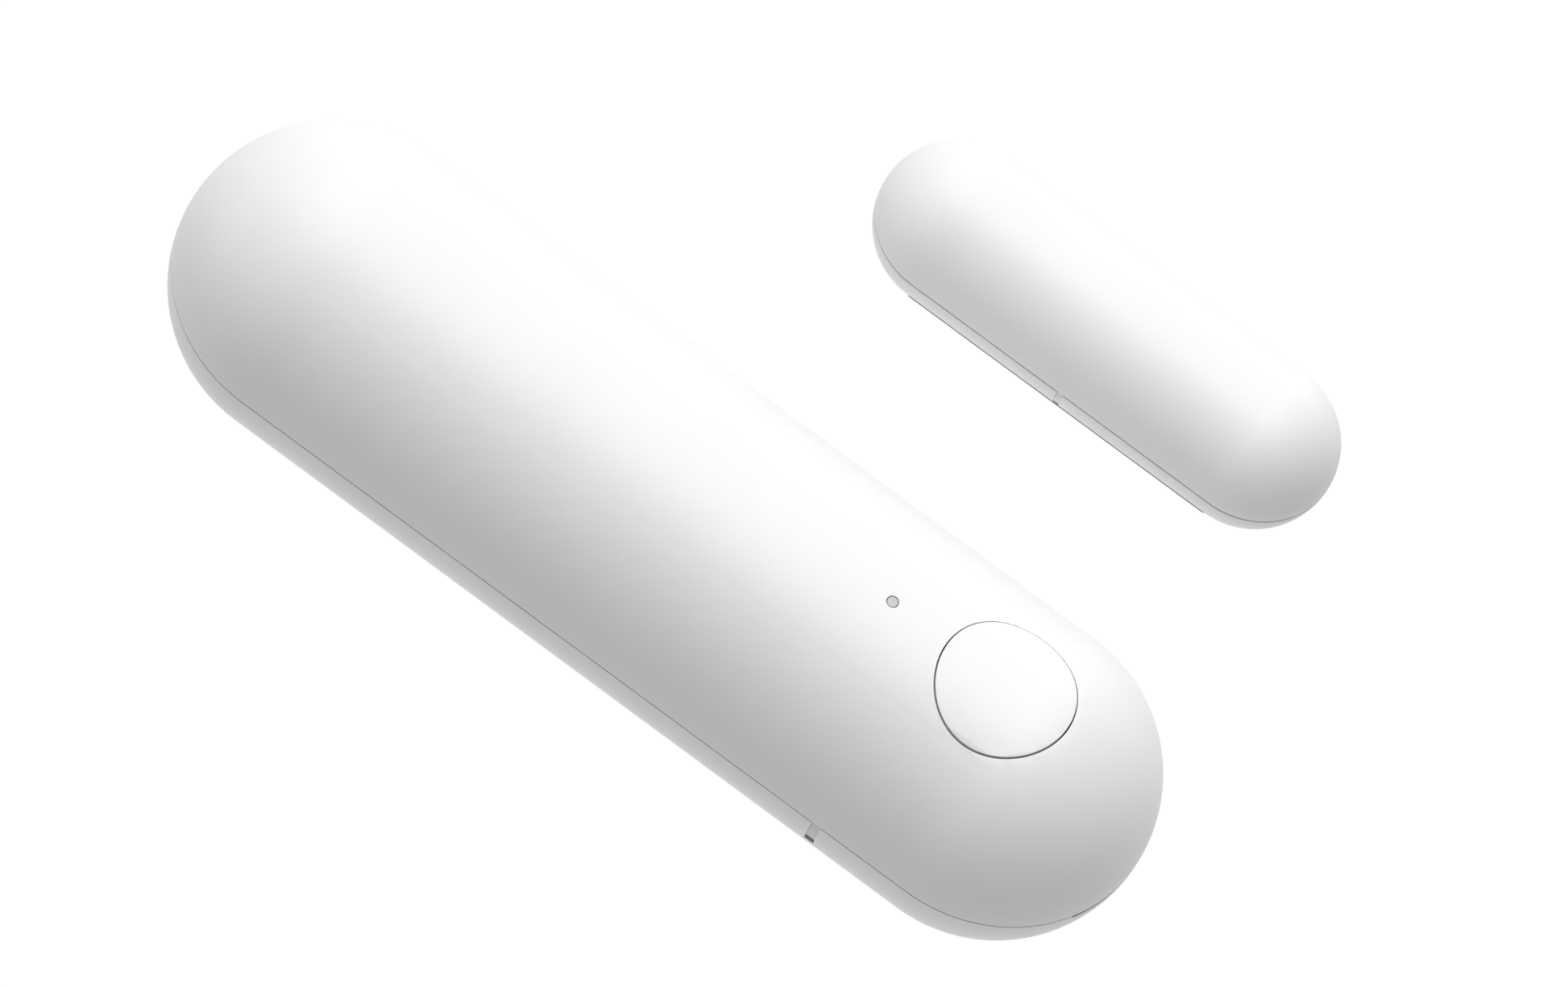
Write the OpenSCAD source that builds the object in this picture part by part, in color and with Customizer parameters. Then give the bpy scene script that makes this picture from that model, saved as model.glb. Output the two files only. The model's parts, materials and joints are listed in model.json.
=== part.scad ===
// Door contact sensor: a pill-shaped wireless sensor and the smaller magnet piece
// that goes beside it on the moving leaf.
// Frame: +X along the sensor towards its button, +Y towards the magnet piece,
// +Z away from the wall. The origin is the centre of the sensor's adhesive face,
// and both pieces lie on the plane z = 0.

/* [Sensor casing] */
// Width of the sensor casing, which is twice the radius of its round front
sensor_w = 24; // [23.8:0.1:25]
// Overall length of the sensor casing
sensor_l = 83.2; // [83:0.1:88]
// Height of the seam above the wall
seam_z = 7.6; // [7.4:0.1:8]
// Wall thickness of the sensor casing
casing_wall = 1.6; // [1.4:0.1:1.7]
// Open gap seen along the seam of both pieces
seam_gap = 0.12; // [0.06:0.02:0.2]
// Distance between the two wall screw holes
wall_screw_pitch = 70; // [69.8:0.1:70.4]

/* [Button and light] */
// Diameter of the button's hole in the cover
button_hole_d = 10.7; // [10.2:0.1:10.8]
// Gap all round between the button and its hole
button_gap = 0.12; // [0.1:0.02:0.2]
// Height of the button above the cover's surface
button_proud = 0.1; // [0.1:0.05:0.5]
// Travel of the button
button_travel = 0.35; // [0.2:0.05:0.4]
// Distance of the button from the middle of the sensor
button_x = 27.0; // [26.8:0.1:27.4]
// Distance of the light from the middle of the sensor
light_x = 16.8; // [16.6:0.1:17]
// Diameter of the light's pinhole in the cover
light_hole_d = 0.96; // [0.8:0.02:1.4]

/* [Magnet piece] */
// Width of the magnet piece
magnet_piece_w = 12.5; // [12.3:0.1:13]
// Overall length of the magnet piece
magnet_piece_l = 39.2; // [38.8:0.1:42]
// Height of the magnet piece's seam above the wall
magnet_seam_z = 3.8; // [3.7:0.1:4]
// Wall thickness of the magnet piece
magnet_wall = 1.2; // [1.0:0.1:1.2]
// Centre of the magnet piece along the sensor
magnet_x = 16.25; // [16:0.05:17]
// Distance from the sensor's axis to the magnet piece's axis
magnet_y = 36.15; // [35:0.05:60]

/* [Tape] */
// Thickness of the foam tape under both pieces
tape_t = 0.6; // [0.4:0.1:0.8]

/* [Battery] */
// Diameter of the cell
cell_d = 15.6; // [15.4:0.1:15.6]
// Length of the cell over its raised contact
cell_l = 27; // [26.6:0.1:27]

/* [Hidden] */
$fn = 96;
eps = 0.01;

// Sensor casing
sensor_r = sensor_w / 2;
sensor_spine = sensor_l / 2 - sensor_r;
inner_r = sensor_r - casing_wall;
base_floor_t = 1.2;
floor_z = tape_t + base_floor_t;
skirt_clearance = 0.1;
skirt_t = 0.9;
skirt_r = inner_r - skirt_clearance;
skirt_h = 3.2;
ledge_z = seam_z - skirt_h;
ledge_w = 0.5;
room_r = skirt_r - skirt_t - ledge_w;
wall_screw_at = [[-wall_screw_pitch / 2, 0], [wall_screw_pitch / 2, 0]];
screw_boss_r = 2.6;
screw_boss_h = 0.8;
wall_screw_r = 1.6;

// Pry pocket in the sensor's side, and the slot at its foot that frees the catch
pry_x = 21.65;
pry_w = 0.8;
pry_pocket_h = 3.1;
pry_slot_h = 0.65;
pry_depth = 0.55;
pry_reach = sensor_r - room_r + 0.3;
end_relief_w = 11.2;
end_relief_h = 0.4;

// Circuit board
board_x0 = 0.5;
board_x1 = 31.5;
board_half_w = 7.7;
board_z = 4.2;
board_t = 1.0;
board_top = board_z + board_t;
board_screw_at = [[13.6, 2.2], [29.4, -5.6]];
board_post_at = [[1.9, 6.2], [1.9, -5.8], [29.2, 6]];
board_post_r = 1.2;
board_screw_hole_r = 1.1;
screw_post_r = 1.9;
pilot_r = 0.9;
pilot_floor = 0.2;

// Button, its switch and its guide in the cover
button_r = button_hole_d / 2 - button_gap;
guide_bottom_z = 14;
guide_wall = 1.2;
flange_w = 1.06;
flange_r = button_r + flange_w;
flange_t = 1.0;
slide_gap = 0.05;
flange_top_z = guide_bottom_z - slide_gap;
switch_size = 6;
switch_body_h = 3.4;
switch_plate_t = 0.2;
plunger_r = 1.7;
switch_h = 4.8;
plunger_top_z = board_top + switch_h;
plunger_bottom_z = board_top + 2.3;
plunger_spare = 0.15;

// Light pipe
pipe_r = 1.0;
pipe_tip_gap = 0.07;
pipe_tip_r = light_hole_d / 2 - pipe_tip_gap;
pipe_tip_h = 1.0;
pipe_shoulder_z = seam_z + sensor_r - pipe_tip_h;
pipe_over_board = 1.3;
pipe_bottom_z = board_top + pipe_over_board;
pipe_boss_bottom_z = 12.5;

// Tamper switch
tamper_at = [3, 5.8];
tamper_body = [4, 3, 2.5];
tamper_plunger_r = 0.6;
tamper_switch_h = 3.3;
tamper_plunger_top_z = board_top + tamper_switch_h;
tamper_post_r = 1.1;

// Cell and contacts
cell_x0 = -29;
cell_x1 = cell_x0 + cell_l;
cell_r = cell_d / 2;
cell_lift = 0.35;
cell_z = floor_z + cell_lift + cell_r;
sleeve_t = 0.15;
nub_l = 1;
nub_r = 2.8;
contact_tab_y = 3;
cradle_end_t = 0.8;
cradle_wall_h = 10.5;
contact_t = 0.3;
spring_l = 2.2;
spring_wire_r = 0.25;
lead_r = 0.4;
// The knees are a little fatter than the wire, so that the bends stay whole
lead_knee_r = 0.42;
lead_route = [
    [-30.8, -6.2, 3.6], [-30, -7.9, 2.6], [-2, -8.1, 2.6], [0.8, -8.25, 4.4],
    [1.4, -8.25, 5.9], [1.4, -6.9, 5.9], [1.4, -6.6, 5.6]
];

// Reed switch, level with the middle of the magnet piece
reed_y = 6.4;
reed_over_board = 1.3;
reed_z = board_top + reed_over_board;
reed_r = 1;
reed_l = 12;
reed_lead_r = 0.25;
reed_foot = 8.3;

// Radio module
radio_at = [7.1, -2.7];
radio_size = 9;
radio_t = 0.8;
shield_size = 7.6;
shield_h = 1.8;

// Magnet piece
mag_r = magnet_piece_w / 2;
mag_spine = magnet_piece_l / 2 - mag_r;
mag_inner_r = mag_r - magnet_wall;
mag_floor_t = 0.8;
mag_floor_z = tape_t + mag_floor_t;
mag_skirt_t = 0.7;
mag_skirt_r = mag_inner_r - skirt_clearance;
mag_skirt_h = 1.8;
mag_ledge_z = magnet_seam_z - mag_skirt_h;
mag_ledge_w = 0.2;
mag_room_r = mag_skirt_r - mag_skirt_t - mag_ledge_w;
mag_pry_w = 0.5;
mag_pry_pocket_h = 2.2;
mag_pry_slot_h = 0.67;
mag_pry_depth = 0.45;
mag_pry_reach = 2;
bar = [24, 5, 4.5];
foam = [12, 4, 1.7];

// Tape pads: length and width, and the radius of their corners
sensor_pad = [58, 17];
sensor_pad_corner = 2;
magnet_pad = [27.7, 10.3];
magnet_pad_corner = 0.8;

// ---- shapes that are used more than once ----

// A cylinder along X with a ball at each end, centred on the origin
module pill(r, half_spine) {
    rotate([0, 90, 0]) cylinder(h = 2 * half_spine, r = r, center = true);
    for (side = [-1, 1])
        translate([side * half_spine, 0, 0]) sphere(r = r);
}

// A flat slab with straight sides and half-round ends, standing on z = 0
module slab(r, half_spine, h) {
    linear_extrude(height = h) {
        square([2 * half_spine, 2 * r], center = true);
        for (side = [-1, 1]) translate([side * half_spine, 0]) circle(r = r);
    }
}

// A slab with four small round corners, standing on z = 0
module rounded_slab(size, corner, h) {
    linear_extrude(height = h) {
        square([size.x - 2 * corner, size.y], center = true);
        square([size.x, size.y - 2 * corner], center = true);
        for (sx = [-1, 1], sy = [-1, 1])
            translate([sx * (size.x / 2 - corner), sy * (size.y / 2 - corner)]) circle(r = corner);
    }
}

// A box standing on z, centred on a point in plan
module block(at, size, z) {
    translate([at.x - size.x / 2, at.y - size.y / 2, z]) cube(size);
}

// A round post standing on z0 and reaching z1
module post(at, r, z0, z1) {
    translate([at.x, at.y, z0]) cylinder(h = z1 - z0, r = r);
}

// The lower shell of a casing: the part of a pill between its flat back and the seam,
// hollowed out to a floor, with a wider room at the top for the cover's skirt
module lower_shell(r, half_spine, seam, floor, ledge, wide_r, narrow_r) {
    difference() {
        intersection() {
            translate([0, 0, seam]) pill(r, half_spine);
            block([0, 0], [4 * r + 2 * half_spine, 3 * r, seam - seam_gap / 2 - tape_t], tape_t);
        }
        translate([0, 0, floor]) slab(narrow_r, half_spine, r);
        translate([0, 0, ledge]) slab(wide_r, half_spine, r);
    }
}

// The upper shell of a casing: the hollow half of a pill above the seam, with a skirt
// that reaches down inside the lower shell and rests on its ledge
module upper_shell(r, half_spine, seam, ledge, wall, skirt_r, skirt_t) {
    // How far the skirt rises past the seam, until all of its top is inside the wall
    root_h = 1.63 * wall;
    difference() {
        intersection() {
            translate([0, 0, seam]) pill(r, half_spine);
            block([0, 0], [4 * r + 2 * half_spine, 3 * r, 2 * r], seam + seam_gap / 2);
        }
        translate([0, 0, seam]) pill(r - wall, half_spine);
    }
    translate([0, 0, ledge]) difference() {
        slab(skirt_r, half_spine, seam - ledge + root_h);
        translate([0, 0, -eps]) slab(skirt_r - skirt_t, half_spine, 3 * r);
    }
}

// The pry pocket and catch slot cut into the near side of a lower shell
module pry_cut(x, r, seam, w, pocket_h, slot_h, depth, reach) {
    block([x, -r], [w, 2 * depth, pocket_h + 1], seam - pocket_h);
    block([x, -r], [w, 2 * reach, slot_h], seam - pocket_h - slot_h);
}

// ---- sensor casing ----

module sensor_base() {
    color("white") {
        difference() {
            union() {
                lower_shell(sensor_r, sensor_spine, seam_z, floor_z, ledge_z, inner_r, room_r);
                for (at = wall_screw_at) post(at, screw_boss_r, floor_z - eps, floor_z + screw_boss_h);
                for (at = board_screw_at) post(at, screw_post_r, floor_z - eps, board_z);
                for (at = board_post_at) post(at, board_post_r, floor_z - eps, board_z);
            }
            for (at = board_screw_at) post(at, pilot_r, floor_z + pilot_floor, board_z + 1);
            for (at = wall_screw_at) post(at, wall_screw_r, 0, floor_z + 2);
            pry_cut(pry_x, sensor_r, seam_z, pry_w, pry_pocket_h, pry_slot_h, pry_depth, pry_reach);
            block([sensor_l / 2, 0], [4 * casing_wall, end_relief_w, 1], seam_z - end_relief_h);
        }
    }
}

module sensor_cover() {
    color("white") {
        difference() {
            union() {
                upper_shell(sensor_r, sensor_spine, seam_z, ledge_z, casing_wall, skirt_r, skirt_t);
                // Guide of the button, boss of the light pipe and post over the tamper switch
                intersection() {
                    translate([0, 0, seam_z]) pill(sensor_r - casing_wall / 2, sensor_spine);
                    union() {
                        post([button_x, 0], button_hole_d / 2 + guide_wall, guide_bottom_z, 2 * sensor_r);
                        post([light_x, 0], 2 * pipe_r, pipe_boss_bottom_z, 2 * sensor_r);
                        post(tamper_at, tamper_post_r, tamper_plunger_top_z + slide_gap, 2 * sensor_r);
                    }
                }
            }
            post([button_x, 0], button_hole_d / 2, guide_bottom_z - 1, 2 * sensor_r);
            post([light_x, 0], pipe_r, pipe_boss_bottom_z - 1, pipe_shoulder_z);
            post([light_x, 0], light_hole_d / 2, pipe_shoulder_z - 1, 2 * sensor_r);
        }
    }
}

module button_cap() {
    skin_t = 1.6;
    skin_z = seam_z + sensor_r - skin_t;
    flange_z = flange_top_z - flange_t;
    wall = 1;
    rib_t = 0.8;
    overlap = 0.2;
    color("white") {
        difference() {
            union() {
                intersection() {
                    translate([0, 0, seam_z]) pill(sensor_r + button_proud, sensor_spine);
                    post([button_x, 0], button_r, flange_z, 2 * sensor_r);
                }
                post([button_x, 0], flange_r, flange_z, flange_top_z);
            }
            post([button_x, 0], button_r - wall, flange_z - 1, skin_z);
        }
        post([button_x, 0], plunger_r - 0.1, plunger_top_z + slide_gap, skin_z + overlap);
        for (turn = [0, 90])
            translate([button_x, 0, 0]) rotate([0, 0, turn])
                block([0, 0], [2 * button_r - wall, rib_t, skin_z + overlap - flange_z], flange_z);
    }
}

module light_pipe() {
    below_surface = 0.03;
    tip_z = seam_z + sensor_r - below_surface;
    color("gainsboro") {
        post([light_x, 0], pipe_r, pipe_bottom_z, pipe_shoulder_z);
        post([light_x, 0], pipe_tip_r, pipe_shoulder_z - 0.5, tip_z);
    }
}

module sensor_tape_pad() {
    color("gainsboro") rounded_slab(sensor_pad, sensor_pad_corner, tape_t);
}

// ---- battery ----

module battery_cradle() {
    contact_wall_t = 1;
    x0 = cell_x0 - spring_l - contact_t - cradle_end_t;
    x1 = cell_x1 + contact_t + contact_wall_t;
    width = 13;
    rail = [x1 - x0, 1.5, 2.8];
    rail_y = 6.25;
    tie = [2, width, 1.6];
    lead_gap = [2.2, 3.6, 4];
    tab_gap = [4, 2, 0.7];
    color("dimgray") {
        difference() {
            union() {
                for (side = [-1, 1])
                    block([(x0 + x1) / 2, side * rail_y], rail, floor_z);
                for (x = [-25, -15.5, -6]) block([x, 0], tie, floor_z);
            }
            translate([x0 - 1, 0, cell_z]) rotate([0, 90, 0])
                cylinder(h = x1 - x0 + 2, r = cell_r + 0.1);
            // Gap for the end plate's tail and the lead soldered to it
            block([x0 + cradle_end_t + lead_gap.x / 2, -6.4], lead_gap, floor_z + 0.6);
        }
        block([x0 + cradle_end_t / 2, 0], [cradle_end_t, width, cradle_wall_h], floor_z);
        difference() {
            block([x1 - contact_wall_t / 2, 0], [contact_wall_t, width, cradle_wall_h], floor_z);
            block([x1, contact_tab_y], tab_gap, board_top - 0.2);
        }
    }
}

module battery_can() {
    can_r = cell_r - sleeve_t;
    color("silver") {
        translate([cell_x0, 0, cell_z]) rotate([0, 90, 0])
            cylinder(h = cell_l - nub_l, r = can_r);
        translate([cell_x1 - nub_l - 0.3, 0, cell_z]) rotate([0, 90, 0])
            cylinder(h = nub_l + 0.3, r = nub_r);
    }
}

module battery_sleeve() {
    // The bare metal left at each end of the cell
    end_lap = 0.6;
    color("midnightblue")
        translate([cell_x0 + end_lap, 0, cell_z]) rotate([0, 90, 0]) difference() {
            cylinder(h = cell_l - nub_l - 2 * end_lap, r = cell_r);
            translate([0, 0, -1]) cylinder(h = cell_l + 2, r = cell_r - sleeve_t);
        }
}

module battery_plate_contact() {
    plate = [contact_t, 8, 9];
    tab = [4.4, 1.6, contact_t];
    color("silver") {
        block([cell_x1 + contact_t / 2, 0], plate, board_top);
        block([cell_x1 + tab.x / 2, contact_tab_y], tab, board_top);
    }
}

// A cone of wire that the cell presses nearly flat against the end plate
module battery_spring() {
    turns = 3;
    steps = 20;
    sides = 8;
    count = turns * steps + 1;
    r_big = 4.2;
    r_small = 1.9;
    pitch_l = spring_l - 2 * spring_wire_r;
    ring = function (i) let (
        f = i / (count - 1),
        a = 360 * turns * f,
        r = r_big + (r_small - r_big) * f,
        x = cell_x0 - spring_l + spring_wire_r + pitch_l * f
    ) [for (k = [0 : sides - 1]) let (
        b = 360 * k / sides,
        rr = r + spring_wire_r * cos(b)
    ) [x + spring_wire_r * sin(b), rr * cos(a), cell_z + rr * sin(a)]];
    points = [for (i = [0 : count - 1]) each ring(i)];
    walls = [for (i = [0 : count - 2], k = [0 : sides - 1]) let (n = (k + 1) % sides)
        [i * sides + k, i * sides + n, (i + 1) * sides + n, (i + 1) * sides + k]];
    caps = [[for (k = [sides - 1 : -1 : 0]) k], [for (k = [0 : sides - 1]) (count - 1) * sides + k]];
    color("silver") polyhedron(points = points, faces = concat(walls, caps), convexity = 6);
}

module battery_end_plate() {
    x = cell_x0 - spring_l - contact_t / 2;
    plate = [contact_t, 9, 11];
    tail = [contact_t, 2.8, 1.6];
    foot_z = floor_z + 1.2;
    color("silver") {
        block([x, 0], plate, foot_z);
        block([x, -5.4], tail, foot_z);
    }
}

module battery_lead() {
    color("red")
        for (i = [0 : len(lead_route) - 2]) {
            from = lead_route[i];
            run = lead_route[i + 1] - from;
            translate(from) {
                sphere(r = lead_knee_r);
                rotate([0, acos(run.z / norm(run)), atan2(run.y, run.x)])
                    cylinder(h = norm(run), r = lead_r);
            }
            if (i == len(lead_route) - 2) translate(lead_route[i + 1]) sphere(r = lead_knee_r);
        }
}

// ---- circuit board and what is on it ----

module circuit_board() {
    board_l = board_x1 - board_x0;
    color("seagreen") difference() {
        block([board_x0 + board_l / 2, 0], [board_l, 2 * board_half_w, board_t], board_z);
        for (at = board_screw_at) post(at, board_screw_hole_r, board_z - 1, board_top + 1);
    }
}

module board_screws() {
    head_r = 1.75;
    head_h = 1.2;
    slot = [0.4, 2, 1];
    slot_z = board_top + head_h - 0.6;
    thread_gap = 0.02;
    color("silver") for (at = board_screw_at) {
        difference() {
            post(at, head_r, board_top, board_top + head_h);
            block(at, slot, slot_z);
            block(at, [slot.y, slot.x, slot.z], slot_z);
        }
        post(at, pilot_r - thread_gap, floor_z + 0.5, board_top + eps);
    }
}

module reed_glass() {
    glass_t = 0.25;
    color("darkseagreen") translate([magnet_x, reed_y, reed_z]) rotate([0, 90, 0]) difference() {
        union() {
            cylinder(h = reed_l - 2 * reed_r, r = reed_r, center = true);
            for (side = [-1, 1]) translate([0, 0, side * (reed_l / 2 - reed_r)]) sphere(r = reed_r);
        }
        cylinder(h = reed_l - 4 * reed_r, r = reed_r - glass_t, center = true);
        cylinder(h = reed_l + 1, r = reed_lead_r, center = true);
    }
}

// Two flat blades that lap in the middle, each ending in a wire bent down to the board
module reed_blades() {
    lap = 0.8;
    blade = [reed_l / 2 - 2 * reed_r + lap, 1, 0.12];
    blade_offset = 0.1;
    root = 0.4;
    joint_r = 0.6;
    joint_h = 0.25;
    color("silver") translate([magnet_x, reed_y, 0]) for (side = [-1, 1]) {
        block([side * (blade.x / 2 - lap), 0], blade, reed_z - blade.z / 2 + side * blade_offset);
        translate([side * (reed_l / 2 - 2 * reed_r - root), 0, reed_z]) rotate([0, side * 90, 0])
            cylinder(h = reed_foot - reed_l / 2 + 2 * reed_r + root, r = reed_lead_r);
        translate([side * reed_foot, 0, reed_z]) sphere(r = reed_lead_r);
        post([side * reed_foot, 0], reed_lead_r, board_top, reed_z);
        post([side * reed_foot, 0], joint_r, board_top, board_top + joint_h);
    }
}

module status_led() {
    foot = [1.6, 0.8, 0.4];
    lens = [1.0, 0.8, 0.7];
    color("ivory") {
        block([light_x, 0], foot, board_top);
        block([light_x, 0], lens, board_top);
    }
}

module tact_switch_body() {
    leg = [0.4, 0.8, 0.3];
    leg_x = 2.25;
    bore_z = plunger_bottom_z - button_travel - plunger_spare;
    color("black") {
        difference() {
            block([button_x, 0], [switch_size, switch_size, switch_body_h], board_top);
            post([button_x, 0], plunger_r + slide_gap, bore_z, plunger_top_z);
        }
        for (sx = [-1, 1], sy = [-1, 1])
            block([button_x + sx * leg_x, sy * (switch_size / 2 + leg.y / 2)], leg, board_top);
    }
}

module tact_switch_plate() {
    color("silver") difference() {
        block([button_x, 0], [switch_size, switch_size, switch_plate_t], board_top + switch_body_h);
        post([button_x, 0], plunger_r + 0.3, board_top, plunger_top_z);
    }
}

module tact_switch_plunger() {
    color("dimgray") post([button_x, 0], plunger_r, plunger_bottom_z, plunger_top_z);
}

module tamper_switch_body() {
    color("black") difference() {
        block(tamper_at, tamper_body, board_top);
        post(tamper_at, tamper_plunger_r + slide_gap, board_top + 1, board_top + 3);
    }
}

module tamper_switch_plunger() {
    color("ivory") post(tamper_at, tamper_plunger_r, board_top + 1.1, tamper_plunger_top_z);
}

module radio_board() {
    color("midnightblue") block(radio_at, [radio_size, radio_size, radio_t], board_top);
}

module radio_shield() {
    sheet = 0.2;
    inner = shield_size - 2 * sheet;
    color("silver") difference() {
        block(radio_at, [shield_size, shield_size, shield_h], board_top + radio_t);
        block(radio_at, [inner, inner, shield_h - sheet], board_top + radio_t - eps);
    }
}

module microcontroller() {
    at = [15.2, -4.9];
    size = [4.6, 4.6, 0.9];
    mark_at = at + [-1.6, 1.6];
    mark_r = 0.3;
    color("black") difference() {
        block(at, size, board_top);
        post(mark_at, mark_r, board_top + size.z - 0.1, board_top + 2);
    }
}

module crystal() {
    at = [20, -5.8];
    rim = [3.2, 2.5, 0.3];
    can = [2.8, 2.1, 0.8];
    color("silver") {
        block(at, rim, board_top);
        block(at, can, board_top);
    }
}

module bulk_capacitor() {
    at = [20.6, 2.6];
    size = [3.2, 2.5, 1.9];
    color("orange") block(at, size, board_top);
}

// Chip resistors and capacitors: two rows and one column of separate pieces
module chip_components() {
    chip = [1, 0.5, 0.4];
    row_pitch = 1.5;
    column_pitch = 0.7;
    color("tan") {
        for (i = [0 : 3]) block([18.4 + row_pitch * i, -3.2], chip, board_top);
        for (i = [0 : 2]) block([19.4 + row_pitch * i, -1.4], chip, board_top);
        for (i = [0 : 2]) block([13.4, -0.6 - column_pitch * i], chip, board_top);
    }
}

// A printed aerial that turns back and forth at the board's edge
module antenna_trace() {
    trace_t = 0.05;
    trace_w = 0.35;
    pitch = 0.75;
    reach = 3;
    runs = 6;
    start = [22.8, -7.2];
    color("peru") for (i = [0 : runs - 1]) {
        translate([start.x + i * pitch, start.y, board_top]) cube([trace_w, reach, trace_t]);
        if (i < runs - 1)
            translate([start.x + i * pitch, start.y + (i % 2 == 0 ? reach - trace_w : 0), board_top])
                cube([pitch + trace_w, trace_w, trace_t]);
    }
}

// ---- magnet piece ----

module magnet_base() {
    rib_t = 0.8;
    rib_h = 2;
    color("white") translate([magnet_x, magnet_y, 0]) {
        difference() {
            lower_shell(mag_r, mag_spine, magnet_seam_z, mag_floor_z, mag_ledge_z, mag_inner_r, mag_room_r);
            pry_cut(
                0, mag_r, magnet_seam_z, mag_pry_w, mag_pry_pocket_h,
                mag_pry_slot_h, mag_pry_depth, mag_pry_reach
            );
        }
        for (side = [-1, 1]) {
            block([side * (bar.x + rib_t) / 2, 0], [rib_t, 4, rib_h + eps], mag_floor_z - eps);
            for (x = [-7, 7])
                block([x, side * (bar.y / 2 + rib_t)], [rib_t, 2 * rib_t, rib_h + eps], mag_floor_z - eps);
        }
    }
}

module magnet_cover() {
    color("white") translate([magnet_x, magnet_y, 0])
        upper_shell(mag_r, mag_spine, magnet_seam_z, mag_ledge_z, magnet_wall, mag_skirt_r, mag_skirt_t);
}

module bar_magnet() {
    color("gray") block([magnet_x, magnet_y], bar, mag_floor_z);
}

module magnet_foam() {
    color("darkgray") block([magnet_x, magnet_y], foam, mag_floor_z + bar.z);
}

module magnet_tape_pad() {
    color("gainsboro") translate([magnet_x, magnet_y, 0]) rounded_slab(magnet_pad, magnet_pad_corner, tape_t);
}

sensor_base();
sensor_cover();
button_cap();
light_pipe();
sensor_tape_pad();
battery_cradle();
battery_can();
battery_sleeve();
battery_plate_contact();
battery_spring();
battery_end_plate();
battery_lead();
circuit_board();
board_screws();
reed_glass();
reed_blades();
status_led();
tact_switch_body();
tact_switch_plate();
tact_switch_plunger();
tamper_switch_body();
tamper_switch_plunger();
radio_board();
radio_shield();
microcontroller();
crystal();
bulk_capacitor();
chip_components();
antenna_trace();
magnet_cover();
magnet_base();
bar_magnet();
magnet_foam();
magnet_tape_pad();
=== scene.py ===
import bmesh
import bpy
import json
import math
from mathutils import Matrix, Vector

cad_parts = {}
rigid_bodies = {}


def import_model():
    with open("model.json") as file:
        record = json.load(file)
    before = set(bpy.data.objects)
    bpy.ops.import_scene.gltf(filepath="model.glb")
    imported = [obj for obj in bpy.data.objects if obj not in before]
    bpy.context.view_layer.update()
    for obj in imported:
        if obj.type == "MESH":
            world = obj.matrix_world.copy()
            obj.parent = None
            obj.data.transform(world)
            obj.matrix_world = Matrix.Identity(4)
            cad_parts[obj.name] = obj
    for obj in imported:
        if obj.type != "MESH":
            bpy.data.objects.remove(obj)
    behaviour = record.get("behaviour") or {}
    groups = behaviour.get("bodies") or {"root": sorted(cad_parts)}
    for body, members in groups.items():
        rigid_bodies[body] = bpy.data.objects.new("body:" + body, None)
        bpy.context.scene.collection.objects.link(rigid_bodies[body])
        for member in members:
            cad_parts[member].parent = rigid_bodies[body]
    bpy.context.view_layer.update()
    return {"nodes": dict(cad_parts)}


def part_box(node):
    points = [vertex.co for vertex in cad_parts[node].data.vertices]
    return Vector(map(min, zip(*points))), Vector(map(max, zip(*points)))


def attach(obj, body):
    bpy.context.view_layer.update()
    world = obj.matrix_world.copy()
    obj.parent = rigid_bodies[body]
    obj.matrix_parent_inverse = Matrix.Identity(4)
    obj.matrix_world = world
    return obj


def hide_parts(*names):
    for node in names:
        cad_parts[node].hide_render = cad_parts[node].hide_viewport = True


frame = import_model()
NODES = frame["nodes"]
MM = 0.001

# ---- viewpoint ----

# Where the camera stands, seen from the object, and how far it is rolled
VIEW_AZIMUTH = math.radians(6.7)
VIEW_ELEVATION = math.radians(62.35)
VIEW_ROLL = math.radians(30.42)
# Point between the two pieces that is in the middle of the picture
AIM = Vector((5.34, 6.48, 10.65)) * MM
# Width of what the camera sees at that point, and its long lens
VIEW_WIDTH = 112.68 * MM
LENS_MM = 800
SENSOR_MM = 36

# ---- studio light ----

# The white surroundings show behind the floor and in reflections; the suns give the shading
SKY_STRENGTH = 1.0
# Soft suns: name, azimuth from +X, elevation, strength and the angle they spread over
SUNS = [
    ("key", 126, 68, 2.4, 60),
    ("top", 0, 90, 1.02, 40),
    ("side", 162, 44, 0.35, 50),
    ("rim", 90, 12, 0.7, 50),
]
# The floor is a pale sheet that glows, so that shadows on it stay faint
FLOOR_SIZE = 3.0
FLOOR_GLOW = 0.98
FLOOR_GREY = 0.06
FLOOR_Z = -0.02 * MM


def add_camera():
    cam = bpy.data.cameras.new("camera")
    cam.lens = LENS_MM
    cam.sensor_width = SENSOR_MM
    distance = VIEW_WIDTH * LENS_MM / SENSOR_MM
    cam.clip_start = distance * 0.2
    cam.clip_end = distance * 4
    back = Vector((
        math.sin(VIEW_AZIMUTH) * math.cos(VIEW_ELEVATION),
        -math.cos(VIEW_AZIMUTH) * math.cos(VIEW_ELEVATION),
        math.sin(VIEW_ELEVATION),
    ))
    level_right = Vector((math.cos(VIEW_AZIMUTH), math.sin(VIEW_AZIMUTH), 0))
    level_up = back.cross(level_right)
    right = level_right * math.cos(VIEW_ROLL) + level_up * math.sin(VIEW_ROLL)
    up = back.cross(right)
    turn = Matrix((right, up, back)).transposed().to_4x4()
    obj = bpy.data.objects.new("camera", cam)
    obj.matrix_world = Matrix.Translation(AIM + back * distance) @ turn
    bpy.context.scene.collection.objects.link(obj)
    bpy.context.scene.camera = obj


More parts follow.
